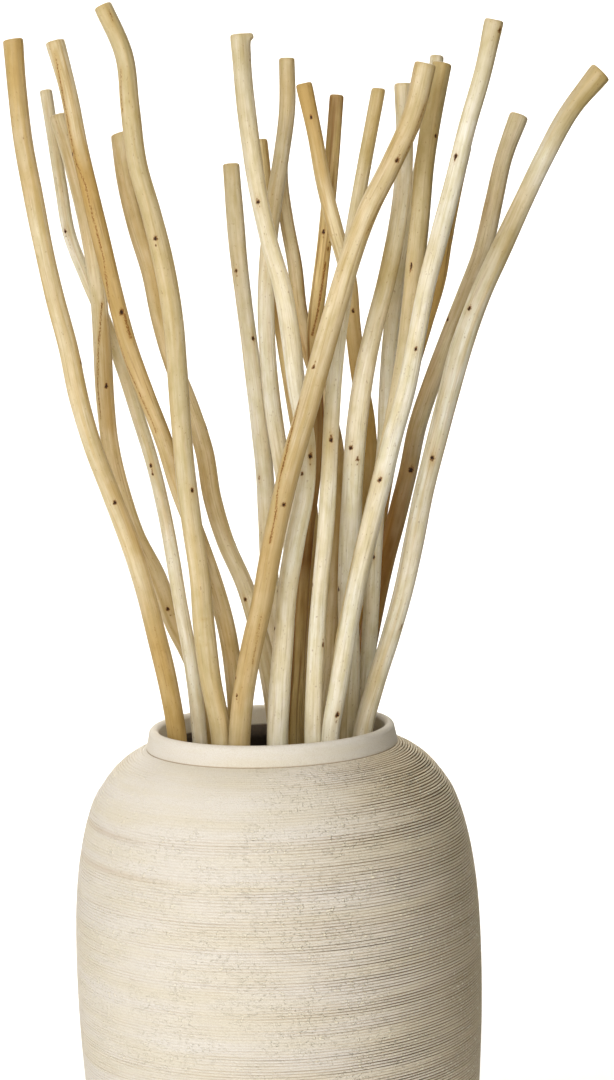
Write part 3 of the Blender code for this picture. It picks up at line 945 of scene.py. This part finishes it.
def vase_outline(node):
    """The vase node's outline as (radius, height), from the foot's edge up and down to the floor."""
    body = welded(node)
    column = [vert for vert in body.verts if abs(vert.co.y) < 10 * WELD and vert.co.x > 0]
    at = min(column, key=lambda vert: (vert.co.z, vert.co.x))
    seen, outline = set(), []
    while at is not None:
        seen.add(at)
        outline.append((at.co.x / MM, at.co.z / MM))
        ahead = [edge.other_vert(at) for edge in at.link_edges]
        ahead = [vert for vert in ahead if vert in column and vert not in seen]
        at = ahead[0] if ahead else None
    body.free()
    return np.array(outline)


def smooth_curve(points, shares):
    """Points at shares of the length of a smooth curve through the given ones."""
    fine = read_between(points, np.linspace(0, len(points) - 1, 40 * len(points)))
    travel = np.concatenate([[0.0], np.cumsum(np.linalg.norm(np.diff(fine, axis=0), axis=1))])
    stops = np.asarray(shares) * travel[-1]
    return np.column_stack([np.interp(stops, travel, fine[:, axis]) for axis in range(2)])


def lip_curve(lip):
    """The lip's outline: up its leaning outside, over the rounded rim and down into the bore."""
    foot, top, bore = lip[0], lip[:, 1].max(), lip[-1, 0]
    edge, crown = lip[1, 0], (lip[1, 0] + bore) / 2
    shoulder = np.array([edge, top - LIP_ROLL])
    up = [foot + (shoulder - foot) * share for share in np.linspace(0, 1, LIP_STEPS)]
    over = [(crown + (edge - crown) * math.cos(bend), top - LIP_ROLL * (1 - math.sin(bend)))
            for bend in np.linspace(0, math.pi / 2, LIP_STEPS)[1:]]
    down = [(crown - (crown - bore) * math.sin(bend), top - LIP_ROLL * (1 - math.cos(bend)))
            for bend in np.linspace(0, math.pi / 2, LIP_STEPS)[1:]]
    wall = [(bore, top - PALE_BORE), (bore, top - PALE_BORE - BORE_EDGE)]
    return np.array(up + over + down + wall)


def from_front(turns):
    """How far each turn is from the side that faces the eye, from -pi on the left to pi."""
    return np.angle(np.exp(1j * (turns + math.pi / 2)))


def comb_press(heights, turns):
    """How hard the comb pressed at each ring and turn: hard on the right, lightly on the left."""
    front = from_front(turns)
    press = PRESS - PRESS_SWING * np.cos(front + PRESS_SIDE)
    press += EDGE_PRESS * np.exp(-((front - EDGE_SIDE) / EDGE_REACH) ** 2)
    smooth = np.clip((heights - SMOOTH_SHOULDER + SHOULDER_FADE) / SHOULDER_FADE, 0, 1)[:, None]
    facing = np.exp(-((front - SMOOTH_SIDE) / SMOOTH_REACH) ** 2)[None]
    return press[None] * (1 - 0.7 * smooth * facing + 0.3 * smooth * (1 - facing))


def round_noise(turn, scale, height):
    """Smooth noise that joins up round the vase."""
    return noise.noise(Vector((math.cos(turn) * scale, math.sin(turn) * scale, height)))


def groove_depths(heights, turns):
    """How deep in millimetres the comb cut at each ring and turn. Every third ring is a groove."""
    depths = np.zeros((len(heights), len(turns)))
    draw = random.Random(5)
    for row in range(len(GROOVE_RINGS) - 1, len(heights), len(GROOVE_RINGS)):
        own = draw.uniform(*GROOVE_DEPTHS)
        own *= 1 + 0.7 * noise.noise(Vector((0.5, 0.5, heights[row] / 7)))
        for column, turn in enumerate(turns):
            patch = round_noise(turn, 2, heights[row] / 14)
            streak = round_noise(turn, 5, row * 2.7)
            depths[row, column] = own * max(FAINTEST, 1.0 + 0.5 * patch + 0.5 * streak)
    depths *= comb_press(heights, turns)
    for height, side, reach in WIDE_GROOVES:
        aside = (from_front(turns) - math.radians(side)) / math.radians(reach)
        rise = (heights - height) / WIDE_SPREAD
        depths += WIDE_DEPTH * np.outer(np.exp(-rise ** 2), np.exp(-aside ** 2))
    return depths


def groove_stops():
    """Where the body's rings lie, as shares of the outline's length."""
    draw = random.Random(11)
    stops = []
    for groove in range(GROOVES):
        stops += [groove + part + draw.uniform(-GROOVE_SHIFT, GROOVE_SHIFT) for part in GROOVE_RINGS]
    return np.clip(np.array(stops) / GROOVES, 0.0, 1.0)


def turned(profile, turns):
    """A ring of points for each (radius, height)."""
    circle = np.column_stack([np.cos(turns), np.sin(turns)])
    return np.array([[(radius * x, radius * y, height) for x, y in circle]
                     for radius, height in profile])


def vase_curves(outline):
    """The outlines of the combed body, the lip and the inside, finer than the node's."""
    widest = int(outline[:, 0].argmax())
    crease = next(row for row in range(widest, len(outline)) if outline[row + 1, 0] > outline[row, 0])
    bore = int(outline[crease:, 0].argmin()) + crease
    body = smooth_curve(outline[:crease + 1], groove_stops())
    lip = lip_curve(outline[crease + 1:bore + 1])
    inside = smooth_curve(outline[bore + 2:], np.linspace(0, 1, INSIDE_RINGS))
    return body, lip, inside


def combed_skin(body, turns, depth, fade):
    """The body's rings with the grooves cut square to its outline, and swaying a little."""
    skin = turned(body, turns)
    slopes = np.gradient(body, axis=0)
    slopes /= np.linalg.norm(slopes, axis=1)[:, None]
    circle = np.column_stack([np.cos(turns), np.sin(turns)])
    skin[:, :, :2] -= circle[None] * (depth * slopes[:, 1:2])[:, :, None]
    skin[:, :, 2] += depth * slopes[:, 0:1]
    sway = np.array([[round_noise(turn, 1.3, height / 30) + 0.6 * round_noise(turn, 6, height / 3)
                      for turn in turns] for height in body[:, 1]])
    skin[:, :, 2] += GROOVE_WANDER * sway * fade
    return skin


def clay_paint(body, turns, depth, lip_rings, rings):
    """For each corner: how much dust and painted shade its groove's floor or the lip's crease takes,
    how bare of the comb, and how far inside, where the bore is painted dark as shade.
    """
    press = comb_press(body[:, 1], turns)
    comb = np.zeros((rings, TURNS, 3))
    # how much dust and painted shade each groove's floor takes
    comb[:len(body), :, 0] = np.clip(depth * press, 0, 1)
    # painted shade along the crease under the lip
    comb[len(body) - 1, :, 0] = CREASE_PAINTED_SHADE
    comb[:len(body), :, 1] = 1 - press
    comb[len(body):, :, 1] = 1.0
    # from the lip's last ring down, the bore is painted dark as shade
    comb[len(body) + lip_rings - 1:, :, 2] = 1.0
    return comb


def make_vase(node):
    """Turn the vase from its node's outline, comb its outside and dress it."""
    body, lip, inside = vase_curves(vase_outline(node))
    heights = body[:, 1]
    turns = math.tau * np.arange(TURNS) / TURNS
    fade = np.clip((heights - PLAIN_FOOT) / FOOT_FADE, 0, 1) * np.clip(heights[-1] - heights, 0, 1)
    fade = fade[:, None]
    depth = groove_depths(heights, turns) * fade
    skin = combed_skin(body, turns, depth, fade)

    rings = np.concatenate([skin, turned(lip, turns), turned(inside, turns)])
    faces = tube_faces(len(rings), TURNS)
    faces.append(tuple(reversed(range(TURNS))))
    last = (len(rings) - 1) * TURNS
    faces.append(tuple(range(last, last + TURNS)))
    vase = make_object("vase_combed", rings.reshape(-1, 3), faces, clay_material())
    vase.data.set_sharp_from_angle(angle=SHARP)
    comb = clay_paint(body, turns, depth, len(lip), len(rings))
    paint_on(vase, "comb", "FLOAT_VECTOR", comb)
    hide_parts(node.name)
    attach(vase, "root")


def make_floor():
    """A pale floor that curves up into a backdrop, which is clear when seen from its back."""
    material, tree, shader = new_material("floor_pale", 0.9, 0.1)
    shader.inputs["Base Color"].default_value = FLOOR_WHITE
    shader.inputs["Emission Color"].default_value = (1.0, 1.0, 1.0, 1.0)
    shader.inputs["Emission Strength"].default_value = FLOOR_GLOW
    behind = add(tree, "ShaderNodeNewGeometry").outputs["Backfacing"]
    clear = add(tree, "ShaderNodeBsdfTransparent").outputs[0]
    seen = add(tree, "ShaderNodeMixShader", {0: behind, 1: shader.outputs[0], 2: clear}).outputs[0]
    tree.links.new(seen, tree.nodes["Material Output"].inputs["Surface"])
    foot, bend = BACKDROP - BACKDROP_BEND, BACKDROP_BEND
    profile = [(FLOOR_FRONT, 0.0), (foot, 0.0)]
    for step in range(1, BEND_STEPS + 1):
        turn = math.pi / 2 * step / BEND_STEPS
        profile.append((foot + bend * math.sin(turn), bend - bend * math.cos(turn)))
    profile.append((BACKDROP, BACKDROP_HEIGHT))
    points = [(side * FLOOR_SIDE, y, z) for y, z in profile for side in (-1, 1)]
    faces = [(row, row + 1, row + 3, row + 2) for row in range(0, len(points) - 2, 2)]
    make_object("floor", points, faces, material)


def aim(thing, target):
    """Turn a light to face a point."""
    way = Vector(target) - thing.location
    thing.rotation_euler = way.to_track_quat("-Z", "Y").to_euler()


def make_light(lamp):
    """Hang a lamp that the camera doesn't see."""
    light = bpy.data.lights.new(lamp.name, "AREA")
    light.size = lamp.size
    light.energy = lamp.power
    light.color = lamp.colour
    thing = bpy.data.objects.new(lamp.name, light)
    thing.location = lamp.place
    thing.visible_camera = False
    bpy.context.scene.collection.objects.link(thing)
    aim(thing, lamp.target)


def make_flag():
    """A dark card to the right, unseen by the camera, that keeps stray light off that side."""
    material, _, shader = new_material("flag_dark", 0.9, 0.0)
    shader.inputs["Base Color"].default_value = CARD_GREY
    edge = ((FLAG_FRONT, 0), (FLAG_BACK, 0), (FLAG_BACK, FLAG_HEIGHT), (FLAG_FRONT, FLAG_HEIGHT))
    flag = make_object("flag", [(FLAG_ACROSS, y, z) for y, z in edge], [(0, 1, 2, 3)], material)
    flag.visible_camera = False


def make_lights():
    """A broad key from the front left, a small warm fill, a light on the backdrop and a warm sky."""
    for lamp in (KEY, FILL, BACK):
        make_light(lamp)
    world = bpy.data.worlds.new("sky")
    world.use_nodes = True
    background = world.node_tree.nodes["Background"]
    background.inputs["Color"].default_value = SKY_COLOUR
    background.inputs["Strength"].default_value = SKY_STRENGTH
    bpy.context.scene.world = world
    bpy.context.scene.view_settings.view_transform = "Standard"


def make_camera():
    """The photograph's camera: level with the stems, looking a little down, rolled a little."""
    lens = bpy.data.cameras.new("camera")
    lens.sensor_width = SENSOR
    lens.lens = FOCAL_PIXELS / PICTURE_HEIGHT * SENSOR
    camera = bpy.data.objects.new("camera", lens)
    tilt = Matrix.Rotation(math.pi / 2 - LOOK_DOWN, 4, "X")
    roll = Matrix.Rotation(-ROLL, 4, "Z")
    camera.matrix_world = Matrix.Translation(Vector(EYE * MM)) @ tilt @ roll
    bpy.context.scene.collection.objects.link(camera)
    bpy.context.scene.camera = camera


clear_scene()
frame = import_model()
make_camera()
make_vase(frame["nodes"]["vase"])
for number, (name, look) in enumerate(LOOKS.items(), start=1):
    make_stem(name + "_peeled", frame["nodes"][name], look, number)
make_floor()
make_flag()
make_lights()
